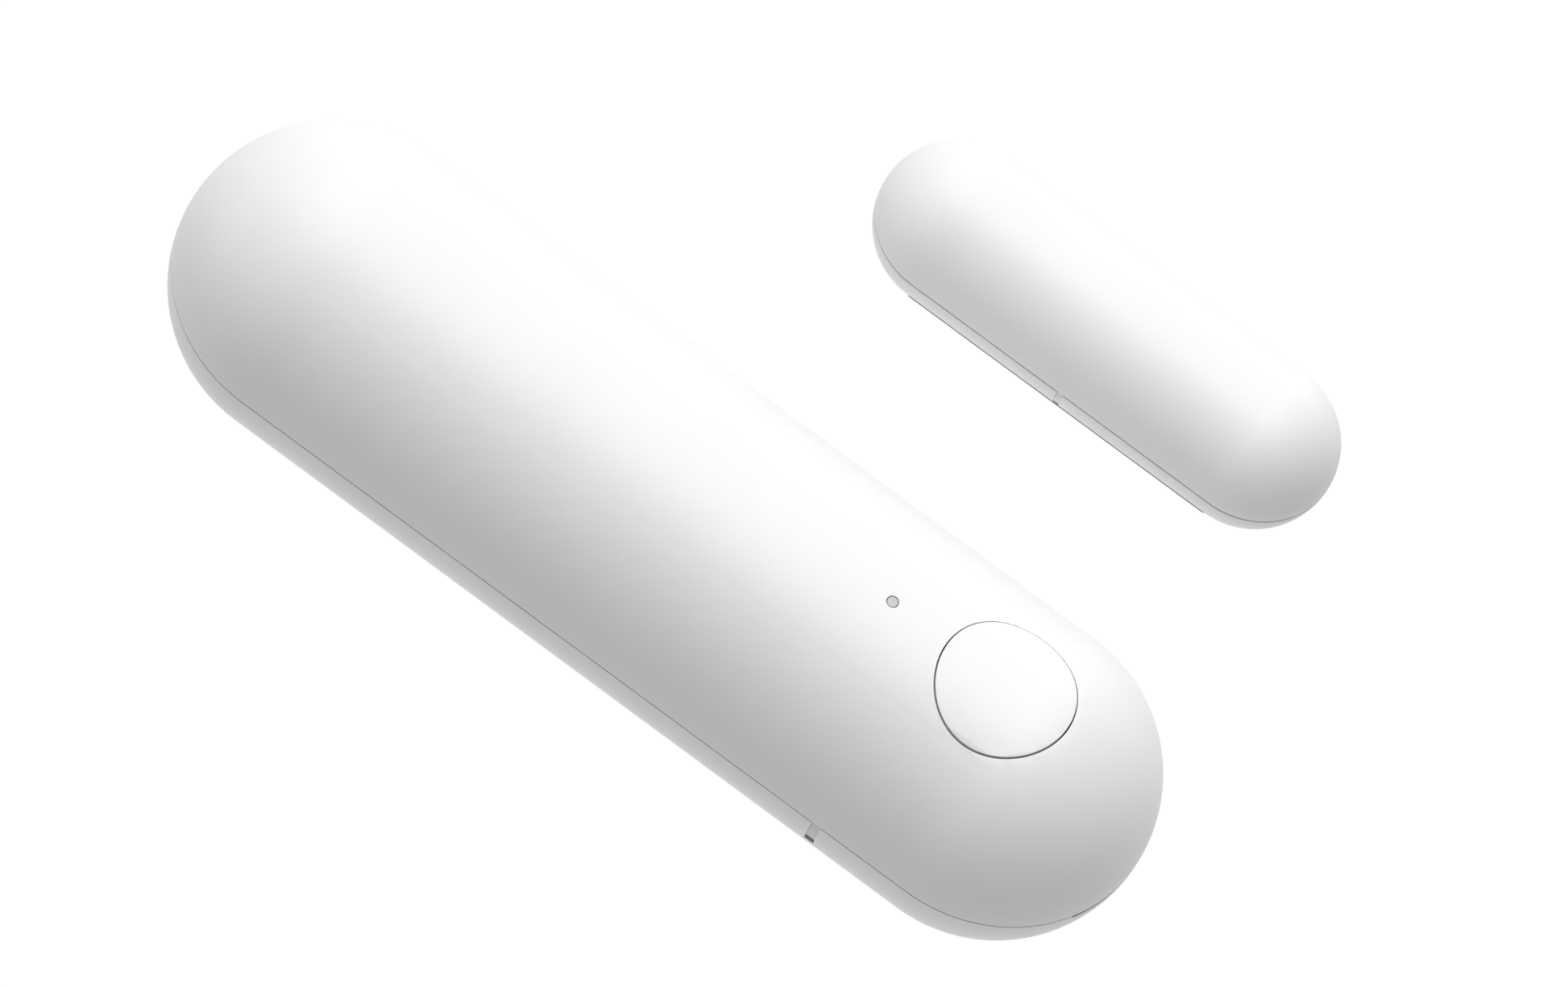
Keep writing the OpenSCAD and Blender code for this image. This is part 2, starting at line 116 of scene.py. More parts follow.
def add_sun(name, azimuth, elevation, strength, spread):
    sun = bpy.data.lights.new(name, "SUN")
    sun.energy = strength
    sun.angle = math.radians(spread)
    az = math.radians(azimuth)
    el = math.radians(elevation)
    towards = Vector((math.cos(az) * math.cos(el), math.sin(az) * math.cos(el), math.sin(el)))
    obj = bpy.data.objects.new(name, sun)
    obj.rotation_mode = "QUATERNION"
    obj.rotation_quaternion = towards.to_track_quat("Z", "Y")
    bpy.context.scene.collection.objects.link(obj)


def add_sky():
    world = bpy.data.worlds.new("studio")
    world.use_nodes = True
    back = world.node_tree.nodes["Background"]
    back.inputs["Color"].default_value = (1, 1, 1, 1)
    back.inputs["Strength"].default_value = SKY_STRENGTH
    world.cycles_visibility.diffuse = False
    bpy.context.scene.world = world


def add_floor():
    mat = bpy.data.materials.new("floor")
    mat.use_nodes = True
    shader = mat.node_tree.nodes["Principled BSDF"]
    shader.inputs["Base Color"].default_value = (FLOOR_GREY, FLOOR_GREY, FLOOR_GREY, 1)
    shader.inputs["Roughness"].default_value = 0.9
    shader.inputs["Specular IOR Level"].default_value = 0
    shader.inputs["Emission Color"].default_value = (1, 1, 1, 1)
    shader.inputs["Emission Strength"].default_value = FLOOR_GLOW
    h = FLOOR_SIZE / 2
    mesh = bpy.data.meshes.new("floor")
    corners = [(-h, -h, FLOOR_Z), (h, -h, FLOOR_Z), (h, h, FLOOR_Z), (-h, h, FLOOR_Z)]
    mesh.from_pydata(corners, [], [(0, 1, 2, 3)])
    mesh.materials.append(mat)
    obj = bpy.data.objects.new("floor", mesh)
    bpy.context.scene.collection.objects.link(obj)


# ---- sizes of the CAD nodes ----


def box_mm(node):
    low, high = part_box(node)
    return Vector(low) / MM, Vector(high) / MM


# ---- how a material is put together ----


def grey(value):
    return (value, value, value)


def scaled(tone, factor):
    return tuple(min(1, c * factor) for c in tone)


class Surface:
    """One procedural material on object coordinates, with its lengths in millimetres."""

    def __init__(self, name, roughness, **fixed):
        self.mat = bpy.data.materials.new(name)
        self.mat.use_nodes = True
        self.tree = self.mat.node_tree
        self.shader = self.tree.nodes["Principled BSDF"]
        self.shader.inputs["Roughness"].default_value = roughness
        for socket, value in fixed.items():
            self.shader.inputs[socket.replace("_", " ")].default_value = value
        self.coords = self.tree.nodes.new("ShaderNodeTexCoord")
        self.normal = None

    def node(self, kind, inputs, **settings):
        made = self.tree.nodes.new(kind)
        for key, value in settings.items():
            setattr(made, key, value)
        for key, value in inputs.items():
            if isinstance(value, bpy.types.NodeSocket):
                self.tree.links.new(value, made.inputs[key])
            else:
                made.inputs[key].default_value = value
        return made

    def stretched(self, x, y, z):
        """Object coordinates with the pattern made longer along each axis."""
        inputs = {"Vector": self.coords.outputs["Object"], "Scale": (1 / x, 1 / y, 1 / z)}
        return self.node("ShaderNodeMapping", inputs).outputs[0]

    def noise(self, size, detail=3, where=None):
        where = where or self.coords.outputs["Object"]
        inputs = {"Vector": where, "Scale": 1 / (size * MM), "Detail": detail}
        return self.node("ShaderNodeTexNoise", inputs).outputs[0]

    def cells(self, size, feature="F1", metric="EUCLIDEAN", random=1.0):
        inputs = {"Vector": self.coords.outputs["Object"], "Scale": 1 / (size * MM), "Randomness": random}
        made = self.node("ShaderNodeTexVoronoi", inputs, feature=feature, distance=metric)
        return made.outputs["Distance"]

    def along(self, axis):
        """How far along an axis a point is, in millimetres."""
        split = self.node("ShaderNodeSeparateXYZ", {0: self.coords.outputs["Object"]})
        return self.calc("MULTIPLY", split.outputs[axis], 1 / MM)

    def facing(self, axis):
        """How squarely the surface faces along an axis, from 0 to 1."""
        split = self.node("ShaderNodeSeparateXYZ", {0: self.coords.outputs["Normal"]})
        return self.calc("ABSOLUTE", split.outputs[axis])

    def calc(self, operation, a, b=0.0, clamp=False):
        made = self.node("ShaderNodeMath", {0: a, 1: b}, operation=operation, use_clamp=clamp)
        return made.outputs[0]

    def reach(self, value, low, high, to_low=0.0, to_high=1.0):
        inputs = {"Value": value, "From Min": low, "From Max": high, "To Min": to_low, "To Max": to_high}
        return self.node("ShaderNodeMapRange", inputs).outputs[0]

    def mix(self, share, a, b):
        a = a if isinstance(a, bpy.types.NodeSocket) else (*a, 1)
        b = b if isinstance(b, bpy.types.NodeSocket) else (*b, 1)
        return self.node("ShaderNodeMix", {0: share, 6: a, 7: b}, data_type="RGBA").outputs[2]

    def edges(self, radius):
        """1 along the edges of the shape and 0 away from them."""
        rounded = self.node("ShaderNodeBevel", {"Radius": radius * MM}, samples=4).outputs[0]
        true = self.node("ShaderNodeNewGeometry", {}).outputs["Normal"]
        same = self.node("ShaderNodeVectorMath", {0: rounded, 1: true}, operation="DOT_PRODUCT")
        return self.reach(same.outputs["Value"], 0.998, 0.9)

    def spread(self, pattern, middle, swing):
        """A fine pattern turned into values about a middle one."""
        return self.reach(pattern, 0.3, 0.7, middle - swing, middle + swing)

    def bump(self, height, depth):
        inputs = {"Height": height, "Distance": depth * MM, "Strength": 1.0}
        if self.normal:
            inputs["Normal"] = self.normal
        self.normal = self.node("ShaderNodeBump", inputs).outputs[0]

    def colour(self, socket):
        self.tree.links.new(socket, self.shader.inputs["Base Color"])

    def rough(self, socket):
        self.tree.links.new(socket, self.shader.inputs["Roughness"])

    def metal(self, socket):
        self.tree.links.new(socket, self.shader.inputs["Metallic"])

    def done(self):
        if self.normal:
            self.tree.links.new(self.normal, self.shader.inputs["Normal"])
        return self.mat


# ---- plastics ----


def moulded(name, tone, roughness, grain, depth, **fixed):
    """Injection-moulded plastic: spark-eroded grain, faint flow clouds, rubbed edges."""
    s = Surface(name, roughness, **fixed)
    light = scaled(tone, 1.015)
    clouds = s.noise(9, 4)
    body = s.mix(clouds, scaled(tone, 0.975), light)
    scuff = s.calc("MULTIPLY", s.edges(0.25), s.reach(s.noise(1.6, 4), 0.4, 0.62), clamp=True)
    s.colour(s.mix(s.calc("MULTIPLY", scuff, 0.25), body, light))
    fine = s.noise(grain, 2)
    polish = s.calc("MULTIPLY", scuff, 0.12)
    s.rough(s.calc("SUBTRACT", s.spread(fine, roughness, 0.055), polish))
    s.bump(fine, depth)
    s.bump(clouds, depth * 3)
    return s.done()


def casing_white():
    return moulded("casing_white", grey(0.76), 0.5, 0.14, 0.0011, IOR=1.49)


def button_white():
    return moulded("button_white", grey(0.77), 0.47, 0.10, 0.0008, IOR=1.49)


def black_nylon():
    s = Surface("black_nylon", 0.48, IOR=1.53)
    fibres = s.noise(0.25, 3, s.stretched(5, 1, 1))
    edge = s.edges(0.15)
    base = s.mix(s.reach(fibres, 0.55, 0.72), (0.012, 0.012, 0.013), (0.030, 0.030, 0.032))
    s.colour(s.mix(s.calc("MULTIPLY", edge, 0.5), base, (0.06, 0.06, 0.062)))
    s.rough(s.spread(fibres, 0.49, 0.09))
    s.bump(s.noise(0.12, 2), 0.003)
    return s.done()


def ivory_plastic():
    return moulded("ivory_plastic", (0.78, 0.72, 0.58), 0.42, 0.1, 0.001, IOR=1.5)


def chip_black():
    """Epoxy of a chip or switch: fine sand and glass specks."""
    s = Surface("chip_black", 0.6, IOR=1.55)
    sand = s.noise(0.05, 3)
    specks = s.reach(s.cells(0.16), 0.10, 0.02)
    base = s.mix(sand, (0.014, 0.014, 0.015), (0.028, 0.028, 0.030))
    base = s.mix(s.calc("MULTIPLY", s.edges(0.08), 0.4), base, (0.07, 0.07, 0.07))
    s.colour(s.mix(s.calc("MULTIPLY", specks, 0.35), base, (0.09, 0.09, 0.09)))
    s.rough(s.spread(sand, 0.61, 0.11))
    s.bump(sand, 0.004)
    return s.done()


def clear_pipe():
    """Light guide: frosted clear plastic that looks pale grey from outside."""
    s = Surface("clear_pipe", 0.35, IOR=1.58, Transmission_Weight=0.25)
    haze = s.noise(0.3, 3)
    s.colour(s.mix(haze, grey(0.50), grey(0.56)))
    s.rough(s.spread(haze, 0.35, 0.07))
    s.bump(s.noise(0.05, 2), 0.0015)
    return s.done()


def red_wire():
    s = Surface("red_wire", 0.35, IOR=1.52, Coat_Weight=0.15, Coat_Roughness=0.2)
    drawn = s.noise(0.2, 3, s.stretched(6, 1, 1))
    s.colour(s.mix(drawn, (0.46, 0.012, 0.010), (0.62, 0.022, 0.016)))
    s.rough(s.spread(drawn, 0.36, 0.08))
    s.bump(drawn, 0.004)
    return s.done()


# Height of the dark band at the foot of a tape pad, mm: its adhesive film, drawn near black as painted
# shade where the pad meets the floor
FILM_SHADE_T = 0.2


def foam_tape():
    """Double-sided pad: white closed-cell foam whose open cells show on its sides."""
    s = Surface("foam_tape", 0.8, IOR=1.4, Sheen_Weight=0.1)
    open_cells = s.cells(0.11)
    tone = s.mix(s.reach(open_cells, 0.1, 0.6), grey(0.86), grey(0.70))
    # The lowest part of the pad is its adhesive film, drawn near black as painted shade along the pad's
    # foot
    film_shade = s.reach(s.along("Z"), FILM_SHADE_T + 0.03, FILM_SHADE_T)
    s.colour(s.mix(film_shade, tone, s.mix(s.noise(0.6, 3), grey(0.05), grey(0.09))))
    s.rough(s.reach(film_shade, 0, 1, 0.85, 0.35))
    s.bump(open_cells, 0.02)
    return s.done()


def grey_foam():
    s = Surface("grey_foam", 0.9, IOR=1.4, Sheen_Weight=0.2)
    pores = s.cells(0.35)
    s.colour(s.mix(s.reach(pores, 0.15, 0.65), (0.21, 0.21, 0.22), (0.09, 0.09, 0.095)))
    s.rough(s.reach(pores, 0, 0.8, 0.95, 0.8))
    s.bump(pores, 0.06)
    s.bump(s.noise(0.08, 3), 0.01)
    return s.done()


# ---- metals ----


def plated(name, tone, roughness, grain, stretch=(1, 1, 1), depth=0.0015, dull=0.75, **fixed):
    """Plated metal: drawing marks, tarnish clouds and brighter edges."""
    s = Surface(name, roughness, Metallic=1.0, **fixed)
    marks = s.noise(grain, 3, s.stretched(*stretch))
    clouds = s.noise(2.4, 4)
    tarnish = s.mix(s.reach(clouds, 0.42, 0.75), tone, scaled(tone, dull))
    rubbed = s.calc("MULTIPLY", s.edges(0.12), 0.5)
    s.colour(s.mix(rubbed, tarnish, scaled(tone, 1.15)))
    s.rough(s.calc("ADD", s.spread(marks, roughness, 0.075), s.reach(clouds, 0.4, 0.8, 0, 0.1)))
    s.bump(marks, depth)
    return s.done()


def nickel():
    return plated("nickel", (0.54, 0.51, 0.46), 0.26, 0.08, (1, 8, 1))


def tin_can():
    return plated("tin_can", (0.46, 0.46, 0.455), 0.36, 0.05, (14, 1, 1), 0.002)


def zinc_screw():
    return plated("zinc_screw", (0.44, 0.45, 0.47), 0.30, 0.10, (1, 1, 1), 0.002, 0.6)


def cell_steel():
    return plated("cell_steel", (0.55, 0.55, 0.54), 0.22, 0.12, (1, 10, 10), 0.001)


def magnet_metal():
    return plated("magnet_metal", (0.40, 0.40, 0.41), 0.34, 0.20, (1, 1, 1), 0.003, 0.7)


def gold_trace():
    return plated("gold_trace", (0.83, 0.60, 0.24), 0.28, 0.12, (1, 1, 1), 0.002, 0.85)


def solder():
    return plated("solder", (0.56, 0.56, 0.55), 0.24, 0.15, depth=0.004, dull=0.8)


# ---- electrical parts ----


def board(name, mask, copper):
    """Lacquered board: copper tracks under the mask, plated rings round holes whose dark middles are
    painted shade, bare glass-epoxy edges.
    """
    s = Surface(name, 0.35, IOR=1.5, Coat_Weight=0.1, Coat_Roughness=0.2)
    near = s.cells(2.6, "F1", "MANHATTAN")
    far = s.cells(2.6, "F2", "MANHATTAN")
    track = s.reach(s.calc("SUBTRACT", far, near), 0.10, 0.06)
    hole = s.cells(3.1, random=0.55)
    ring = s.reach(hole, 0.105, 0.095)
    # The near-black middle of each plated ring is painted shade that stands in for the depth of a hole
    hole_shade = s.reach(hole, 0.05, 0.042)
    weave = s.noise(0.5, 2, s.stretched(1, 3, 1))
    lacquer = s.mix(weave, mask, scaled(mask, 1.25))
    lacquer = s.mix(track, lacquer, copper)
    lacquer = s.mix(ring, lacquer, (0.78, 0.58, 0.26))
    lacquer = s.mix(hole_shade, lacquer, grey(0.02))
    flat = s.reach(s.facing("Z"), 0.4, 0.6)
    cut_edge = s.mix(s.noise(0.12, 3, s.stretched(6, 6, 1)), (0.40, 0.36, 0.18), (0.58, 0.54, 0.32))
    s.colour(s.mix(flat, cut_edge, lacquer))
    s.metal(s.calc("MULTIPLY", s.calc("SUBTRACT", ring, hole_shade, clamp=True), flat))
    s.rough(s.reach(flat, 0, 1, 0.8, 0.33))
    s.bump(s.calc("MULTIPLY", s.calc("ADD", track, ring), flat), 0.02)
    s.bump(weave, 0.004)
    return s.done()


def green_board():
    return board("green_board", (0.006, 0.085, 0.032), (0.045, 0.27, 0.10))


def blue_board():
    return board("blue_board", (0.006, 0.025, 0.12), (0.04, 0.12, 0.36))


def legend_ink():
    s = Surface("legend_ink", 0.6, IOR=1.5)
    thin = s.noise(0.25, 3)
    s.colour(s.mix(s.reach(thin, 0.35, 0.6), grey(0.55), grey(0.80)))
    s.rough(s.spread(thin, 0.6, 0.1))
    s.bump(thin, 0.003)
    return s.done()


def cell_sleeve():
    """Shrunk sleeve round the cell: a dark body, a pale band at the button end, creases."""
    low, high = box_mm("battery_sleeve")
    length = high.x - low.x
    s = Surface("cell_sleeve", 0.22, IOR=1.54, Coat_Weight=0.4, Coat_Roughness=0.08)
    x = s.calc("SUBTRACT", s.along("X"), low.x)
    drift = s.noise(3, 4)
    body = s.mix(drift, (0.012, 0.022, 0.070), (0.018, 0.034, 0.100))
    band = s.mix(drift, (0.52, 0.54, 0.56), (0.62, 0.63, 0.65))
    line = s.mix(drift, (0.30, 0.06, 0.03), (0.36, 0.08, 0.04))
    tone = s.mix(s.reach(x, length * 0.70, length * 0.705), body, line)
    s.colour(s.mix(s.reach(x, length * 0.735, length * 0.74), tone, band))
    ends = s.calc("ADD", s.reach(x, 1.8, 0.2), s.reach(x, length - 1.8, length - 0.2))
    creases = s.noise(0.7, 3, s.stretched(4, 1, 1))
    s.rough(s.calc("ADD", s.spread(drift, 0.21, 0.05), s.calc("MULTIPLY", ends, 0.15)))
    s.bump(s.calc("MULTIPLY", creases, ends), 0.12)
    s.bump(s.noise(1.8, 3, s.stretched(6, 1, 1)), 0.02)
    return s.done()


def reed_glass():
    """Drawn glass tube, faintly green, with wavy walls."""
    s = Surface("reed_glass", 0.03, IOR=1.5, Transmission_Weight=1.0)
    ripple = s.noise(1.2, 3, s.stretched(4, 1, 1))
    s.colour(s.mix(ripple, (0.78, 0.92, 0.84), (0.90, 0.98, 0.93)))
    s.rough(s.spread(ripple, 0.035, 0.025))
    s.bump(ripple, 0.006)
    return s.done()


def led_white():
    """White body with a round yellow patch of phosphor on its top."""
    low, high = box_mm("status_led")
    middle = (low + high) / 2
    s = Surface("led_white", 0.35, IOR=1.5)
    dx = s.calc("SUBTRACT", s.along("X"), middle.x)
    dy = s.calc("SUBTRACT", s.along("Y"), middle.y)
    off = s.calc("SQRT", s.calc("ADD", s.calc("MULTIPLY", dx, dx), s.calc("MULTIPLY", dy, dy)))
    radius = (high.y - low.y) * 0.36
    lens = s.calc("MULTIPLY", s.reach(off, radius + 0.03, radius), s.reach(s.facing("Z"), 0.5, 0.8))
    dust = s.noise(0.1, 3)
    housing = s.mix(dust, grey(0.76), grey(0.84))
    phosphor = s.mix(dust, (0.80, 0.62, 0.10), (0.86, 0.70, 0.18))
    s.colour(s.mix(lens, housing, phosphor))
    s.rough(s.reach(lens, 0, 1, 0.45, 0.15))
    s.bump(s.calc("MULTIPLY", lens, -1), 0.04)
    s.bump(dust, 0.002)
    return s.done()


def tantalum():
    """Moulded capacitor: amber epoxy with a brown bar at its positive end."""
    low, high = box_mm("bulk_capacitor")
    s = Surface("tantalum", 0.45, IOR=1.5)
    grain = s.noise(0.12, 3)
    amber = s.mix(grain, (0.62, 0.36, 0.06), (0.72, 0.44, 0.09))
    brown = s.mix(grain, (0.12, 0.05, 0.02), (0.17, 0.07, 0.03))
    bar_from = low.x + (high.x - low.x) * 0.16
    bar_to = bar_from + 0.5
    x = s.along("X")
    after_start = s.reach(x, bar_from, bar_from + 0.03)
    bar = s.calc("MULTIPLY", after_start, s.reach(x, bar_to, bar_to - 0.03))
    s.colour(s.mix(bar, amber, brown))
    s.rough(s.spread(grain, 0.45, 0.07))
    s.bump(grain, 0.004)
    return s.done()


def chip_ceramic():
    """Sintered ceramic, in shades that change from chip to chip."""
    s = Surface("chip_ceramic", 0.5, IOR=1.6)
    chance = s.node("ShaderNodeNewGeometry", {}).outputs["Random Per Island"]
    grain = s.noise(0.06, 3)
    shade = s.mix(chance, (0.36, 0.25, 0.15), (0.10, 0.085, 0.08))
    s.colour(s.mix(s.reach(grain, 0.35, 0.7), shade, (0.42, 0.34, 0.25)))
    s.rough(s.spread(grain, 0.51, 0.09))
    s.bump(grain, 0.003)
    return s.done()


FINISHES = [
    casing_white, button_white, clear_pipe, foam_tape, black_nylon, nickel, cell_sleeve, cell_steel,
    red_wire, green_board, blue_board, zinc_screw, reed_glass, tin_can, led_white, chip_black,
    ivory_plastic, tantalum, chip_ceramic, gold_trace, magnet_metal, grey_foam, solder,
    legend_ink,
]


def slot_name(slot):
    """The name of a CAD node's material slot, without any numbered ending."""
    return slot.material.name.split(".")[0]


def finish_nodes():
    """Give each CAD node the finish that its material slot is named after."""
    made = {finish.__name__: finish() for finish in FINISHES}
    for node in NODES.values():
        for slot in node.material_slots:
            slot.material = made[slot_name(slot)]
    return made


# ---- rounded edges ----

# Rounding of the sharp edges of each CAD node, in millimetres
ROUNDING = {
    "sensor_cover": 0.05, "sensor_base": 0.05, "button_cap": 0.05,
    "magnet_cover": 0.05, "magnet_base": 0.05, "light_pipe": 0.03,
    "sensor_tape_pad": 0.02, "magnet_tape_pad": 0.02, "magnet_foam": 0.15,
    "battery_cradle": 0.08, "battery_can": 0.3, "battery_sleeve": 0.1,
    "battery_plate_contact": 0.04, "battery_end_plate": 0.06, "circuit_board": 0.04,
    "board_screws": 0.06, "tact_switch_body": 0.08, "tact_switch_plate": 0.03,
    "tact_switch_plunger": 0.12, "tamper_switch_body": 0.06, "tamper_switch_plunger": 0.06,
    "radio_board": 0.03, "radio_shield": 0.12, "microcontroller": 0.05, "crystal": 0.12,
    "bulk_capacitor": 0.1, "antenna_trace": 0.01, "bar_magnet": 0.25, "status_led": 0.05,
}
SHARP_ANGLE = math.radians(28)
FLAT_ANGLE = math.radians(0.6)
WELD = 0.0002 * MM


def soften(name, radius):
    """A copy of a CAD node with its sharp edges rounded, which stands for the node."""
    node = NODES[name]
    mesh = node.data.copy()
    bm = bmesh.new()
    bm.from_mesh(mesh)
    bmesh.ops.remove_doubles(bm, verts=bm.verts, dist=WELD)
    bmesh.ops.dissolve_limit(
        bm, angle_limit=FLAT_ANGLE, verts=bm.verts, edges=bm.edges, delimit={"NORMAL"},
    )
    bm.to_mesh(mesh)
    bm.free()
    if "custom_normal" in mesh.attributes:
        mesh.attributes.remove(mesh.attributes["custom_normal"])
    mesh.shade_smooth()
    obj = bpy.data.objects.new(name + "_finished", mesh)
    bpy.context.scene.collection.objects.link(obj)
    bevel = obj.modifiers.new("rounding", "BEVEL")
    bevel.width = radius * MM
    bevel.segments = 3
    bevel.limit_method = "ANGLE"
    bevel.angle_limit = SHARP_ANGLE
    bevel.miter_outer = "MITER_ARC"
    obj.modifiers.new("normals", "WEIGHTED_NORMAL")
    graph = bpy.context.evaluated_depsgraph_get()
    rounded = bpy.data.meshes.new_from_object(obj.evaluated_get(graph))
    obj.modifiers.clear()
    obj.data = rounded
    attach(obj, node.parent.name.split(":")[1])
    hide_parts(name)


# ---- fine parts of the board and the battery contact ----

# Sizes are in millimetres. The cone spring: turns, wire, small end and fineness
SPRING_TURNS = 3
SPRING_WIRE_R = 0.25
SPRING_SMALL_R = 1.9
SPRING_STEPS = 40
SPRING_SIDES = 16
# A chip's metal ends: how long they are, and how far the ceramic stays below them
CHIP_END = 0.24
CHIP_INSET = 0.02
# How far solder spreads at a joint
SOLDER = 0.14
# Rows of joints: how many on a side, their width and height, and the row's share of the side
PADS_A_SIDE = 7
RADIO_PADS = 8
PAD_W = 0.26
MICRO_JOINT_H = 0.22
RADIO_JOINT_H = 0.6
ROW_SHARE = 0.9
# Landing pads on the radio module
RADIO_PAD_L = 0.55
RADIO_PAD_T = 0.03
# Printed outlines: the parts they go round, their gap and width
LEGEND_ROUND = ["microcontroller", "bulk_capacitor", "tact_switch_body", "crystal"]
LEGEND_GAP = 0.17
LEGEND_W = 0.08


def rounded_box(bm, low, high, radius):
    """Add one box with rounded edges between two corners, in millimetres."""
    box = bmesh.new()
    bmesh.ops.create_cube(box, size=1.0)
    size = Vector(high) - Vector(low)
    middle = (Vector(high) + Vector(low)) / 2
    for v in box.verts:
        v.co = Vector((v.co.x * size.x, v.co.y * size.y, v.co.z * size.z)) + middle
    bmesh.ops.bevel(box, geom=box.edges[:], offset=radius, segments=2, profile=0.5, affect="EDGES")
    mesh = bpy.data.meshes.new("box")
    box.to_mesh(mesh)
    box.free()
    bm.from_mesh(mesh)
    bpy.data.meshes.remove(mesh)


def solder_wedge(bm, middle, half, height, out):
    """A fillet of solder that rises towards -out, with a slightly hollow slope."""
    out = Vector(out)
    side = Vector((0, 0, 1)).cross(out) * half
    # Points down the slope: share of the way out, and height there
    slope = [(0, height), (0.25, height * 0.62), (0.55, height * 0.28), (1, 0)]
    rows = []
    for share, up in slope:
        at = Vector(middle) + out * SOLDER * share + Vector((0, 0, up))
        rows.append((bm.verts.new(at - side), bm.verts.new(at + side)))
    foot = (bm.verts.new(Vector(middle) - side), bm.verts.new(Vector(middle) + side))
    for near, far in zip(rows, rows[1:]):
        bm.faces.new((near[0], near[1], far[1], far[0]))
    bm.faces.new((foot[1], foot[0], rows[-1][0], rows[-1][1]))
    bm.faces.new((foot[0], foot[1], rows[0][1], rows[0][0]))
    bm.faces.new([foot[0]] + [row[0] for row in rows])
    bm.faces.new([foot[1]] + [row[1] for row in reversed(rows)])


def new_piece(name, bm, material, stands_for=None):
    """Turn a mesh in millimetres into a piece that rides on the sensor's body."""
    bmesh.ops.recalc_face_normals(bm, faces=bm.faces)
    bmesh.ops.scale(bm, vec=(MM, MM, MM), verts=bm.verts)
    mesh = bpy.data.meshes.new(name)
    bm.to_mesh(mesh)
    bm.free()
    mesh.shade_smooth()
    mesh.set_sharp_from_angle(angle=math.radians(50))
    mesh.materials.append(materials[material])
    obj = bpy.data.objects.new(name, mesh)
    bpy.context.scene.collection.objects.link(obj)
    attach(obj, "sensor")
    if stands_for:
        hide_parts(stands_for)


def islands_mm(node):
    """The corners of each separate solid of a node, in millimetres."""
    bm = bmesh.new()
    bm.from_mesh(NODES[node].data)
    bmesh.ops.remove_doubles(bm, verts=bm.verts, dist=WELD)
    left = set(bm.verts)
    found = []
    while left:
        solid = set()
        queue = [next(iter(left))]
        while queue:
            v = queue.pop()
            if v in solid:
                continue
            solid.add(v)
            queue.extend(e.other_vert(v) for e in v.link_edges)
        left -= solid
        spots = [v.co / MM for v in solid]
        found.append((
            Vector([min(p[k] for p in spots) for k in range(3)]),
            Vector([max(p[k] for p in spots) for k in range(3)]),
        ))
    bm.free()
    return sorted(found, key=lambda ends: tuple(ends[0]))


def spring_coil():
    """The cone spring of the contact plate, wound from round wire with ground ends."""
    low, high = box_mm("battery_spring")
    axis_z = (low.z + high.z) / 2
    big = (high.z - low.z) / 2 - SPRING_WIRE_R
    lift = high.x - low.x - 2 * SPRING_WIRE_R
    count = SPRING_TURNS * SPRING_STEPS
    bm = bmesh.new()
    rings = []
    for i in range(count + 1):
        share = i / count
        turn = 2 * math.pi * SPRING_TURNS * share
        coil_r = big + (SPRING_SMALL_R - big) * share
        x = low.x + SPRING_WIRE_R + lift * share
        # The wire's two ends are drawn in a little, as cut wire is
        end = min(i, count - i)
        wire = SPRING_WIRE_R * (0.75 if end == 0 else 0.95 if end == 1 else 1)
        ring = []
        for k in range(SPRING_SIDES):
            a = 2 * math.pi * k / SPRING_SIDES
            r = coil_r + wire * math.cos(a)
            spot = (x + wire * math.sin(a), r * math.cos(turn), axis_z + r * math.sin(turn))
            ring.append(bm.verts.new(spot))
        rings.append(ring)
    for near, far in zip(rings, rings[1:]):
        for k in range(SPRING_SIDES):
            n = (k + 1) % SPRING_SIDES
            bm.faces.new((near[k], near[n], far[n], far[k]))
    bm.faces.new(rings[0])
    bm.faces.new(rings[-1])
    new_piece("battery_spring_coil", bm, "nickel", "battery_spring")


def chips():
    """Each chip as a ceramic body between two tinned ends, with its solder."""
    bodies = bmesh.new()
    ends = bmesh.new()
    inset = Vector((0, CHIP_INSET, 0))
    for low, high in islands_mm("chip_components"):
        rounded_box(
            bodies, low + inset + Vector((CHIP_END, 0, 0)),
            high - inset - Vector((CHIP_END, 0, CHIP_INSET)), 0.02,
        )
        near = Vector((low.x + CHIP_END, high.y, high.z))
        far = Vector((high.x - CHIP_END, low.y, low.z))
        rounded_box(ends, low, near, 0.03)
        rounded_box(ends, far, high, 0.03)
        half = (high.y - low.y) / 2
        middle_y = (high.y + low.y) / 2
        height = (high.z - low.z) * 0.6
        solder_wedge(ends, (low.x, middle_y, low.z), half, height, (-1, 0, 0))
        solder_wedge(ends, (high.x, middle_y, low.z), half, height, (1, 0, 0))
    new_piece("chip_bodies", bodies, "chip_ceramic", "chip_components")
    new_piece("chip_ends", ends, "solder")


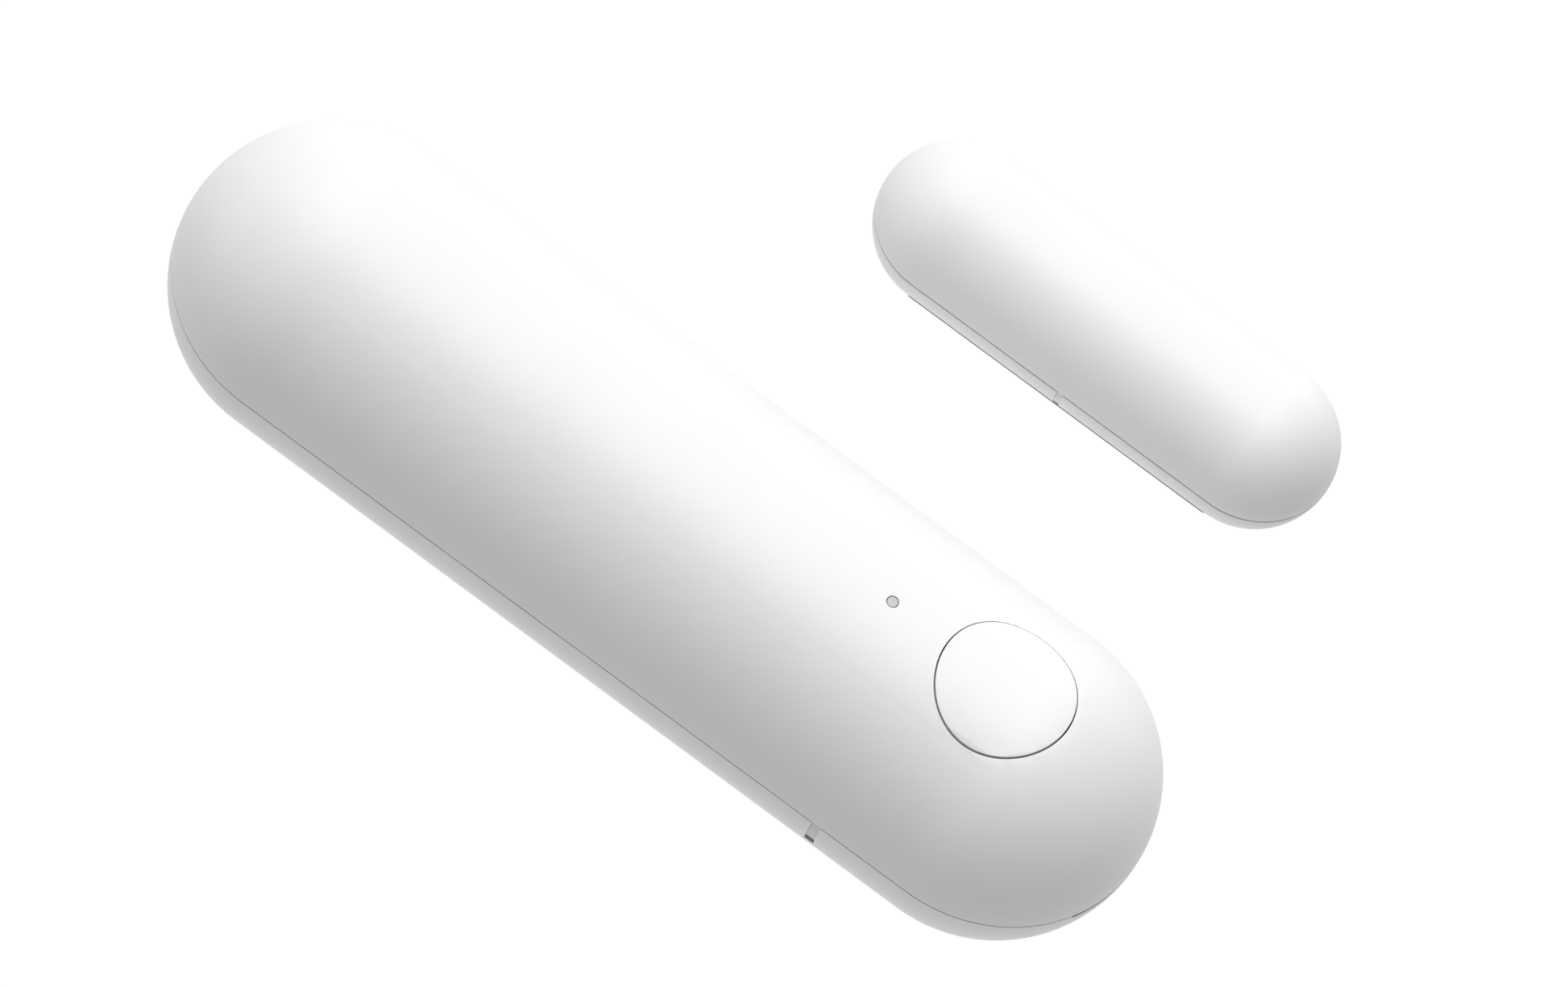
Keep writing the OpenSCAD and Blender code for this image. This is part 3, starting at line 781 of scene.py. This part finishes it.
def edge_joints(node, pads_x, pads_y, height, name):
    """Solder joints in rows along the sides of a flat part."""
    low, high = box_mm(node)
    middle = (low + high) / 2
    bm = bmesh.new()
    x_axis = Vector((1, 0, 0))
    y_axis = Vector((0, 1, 0))
    for count, along, out in ((pads_y, y_axis, x_axis), (pads_x, x_axis, y_axis)):
        length = (high - low).dot(along) * ROW_SHARE
        reach = (high - low).dot(out) / 2
        for i in range(count):
            shift = along * length * ((i + 0.5) / count - 0.5)
            for side in (-1, 1):
                at = Vector((middle.x, middle.y, low.z)) + shift + out * side * reach
                solder_wedge(bm, at, PAD_W / 2, height, out * side)
    new_piece(name, bm, "solder")


def radio_pads():
    """Gold landing pads along two sides of the radio module, above its solder."""
    low, high = box_mm("radio_board")
    bm = bmesh.new()
    pitch = (high.x - low.x) * ROW_SHARE / RADIO_PADS
    half = PAD_W * 0.8
    for i in range(RADIO_PADS):
        x = (low.x + high.x) / 2 + pitch * (i + 0.5 - RADIO_PADS / 2)
        for y in (low.y, high.y - RADIO_PAD_L):
            far = (x + half, y + RADIO_PAD_L, high.z + RADIO_PAD_T)
            rounded_box(bm, (x - half, y, high.z), far, RADIO_PAD_T / 3)
    new_piece("radio_pads", bm, "gold_trace")


def board_legend():
    """Printed outlines round the larger parts of the board."""
    bm = bmesh.new()
    for node in LEGEND_ROUND:
        low, high = box_mm(node)
        x0, y0 = low.x - LEGEND_GAP, low.y - LEGEND_GAP
        x1, y1 = high.x + LEGEND_GAP, high.y + LEGEND_GAP
        w = LEGEND_W
        for a, b in (
            ((x0 - w, y0 - w), (x1 + w, y0)), ((x0 - w, y1), (x1 + w, y1 + w)),
            ((x0 - w, y0), (x0, y1)), ((x1, y0), (x1 + w, y1)),
        ):
            rounded_box(bm, (*a, low.z), (*b, low.z + LEGEND_W / 4), LEGEND_W / 12)
    new_piece("board_legend", bm, "legend_ink")


add_camera()
add_sky()
for sun in SUNS:
    add_sun(*sun)
add_floor()
materials = finish_nodes()
for name, radius in ROUNDING.items():
    soften(name, radius)
spring_coil()
chips()
edge_joints("microcontroller", PADS_A_SIDE, PADS_A_SIDE, MICRO_JOINT_H, "microcontroller_joints")
edge_joints("radio_board", RADIO_PADS, 0, RADIO_JOINT_H, "radio_joints")
radio_pads()
board_legend()

bpy.context.scene.view_settings.view_transform = "Standard"
